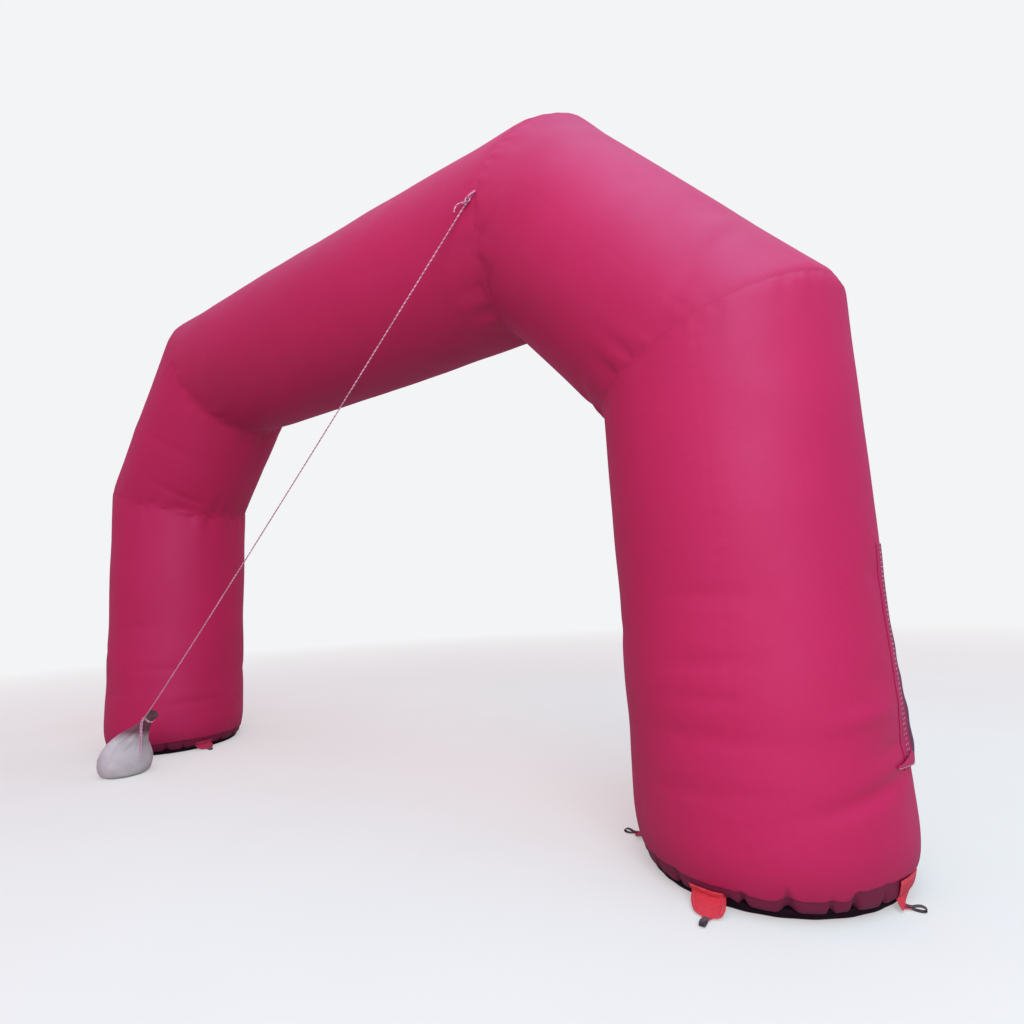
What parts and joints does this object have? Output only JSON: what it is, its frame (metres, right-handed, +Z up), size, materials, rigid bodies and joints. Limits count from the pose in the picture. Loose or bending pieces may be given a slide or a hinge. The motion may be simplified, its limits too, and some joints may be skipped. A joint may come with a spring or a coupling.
{
  "type": "inflatable arch",
  "caption": "Inflatable arch of round air tubes joined at mitred seams, on gathered feet with anchor tabs, guyed by a rope to a ballast sack.",
  "frame": {"origin": "on the ground at mid-span, in the plane of the tubes' centrelines", "axes": "+X along the span towards the foot that carries the zip flap, +Y through the arch away from the guy rope, +Z up"},
  "size_m": [7.9824, 1.9729, 4.894],
  "materials": {
    "rose_cloth": "coated cloth with a soft sheen",
    "black_base": "heavy black coated cloth",
    "coral_tab": "coated cloth, stitched along its edges",
    "black_webbing": "woven webbing",
    "rose_webbing": "woven webbing",
    "pale_rope": "twisted rope",
    "sack_cloth": "plain woven sack cloth"
  },
  "bodies": {
    "root": {"leg_left": "rose_cloth", "slant_left": "rose_cloth", "beam": "rose_cloth", "slant_right": "rose_cloth", "leg_right": "rose_cloth", "zip_flap": "rose_cloth", "base_left": "black_base", "base_right": "black_base", "tab_left_front": "coral_tab", "tab_left_outer": "coral_tab", "tab_left_back": "coral_tab", "tab_left_inner": "coral_tab", "tab_right_front": "coral_tab", "tab_right_outer": "coral_tab", "tab_right_back": "coral_tab", "tab_right_inner": "coral_tab", "loop_left_front": "black_webbing", "loop_left_outer": "black_webbing", "loop_left_back": "black_webbing", "loop_left_inner": "black_webbing", "loop_right_front": "black_webbing", "loop_right_outer": "black_webbing", "loop_right_back": "black_webbing", "loop_right_inner": "black_webbing", "guy_loop": "rose_webbing", "guy_knot": "pale_rope", "guy_rope": "pale_rope", "guy_tail": "pale_rope", "sack_tie": "pale_rope", "tie_end_long": "pale_rope", "tie_end_short": "pale_rope", "ballast_sack": "sack_cloth"}
  },
  "joints": []
}
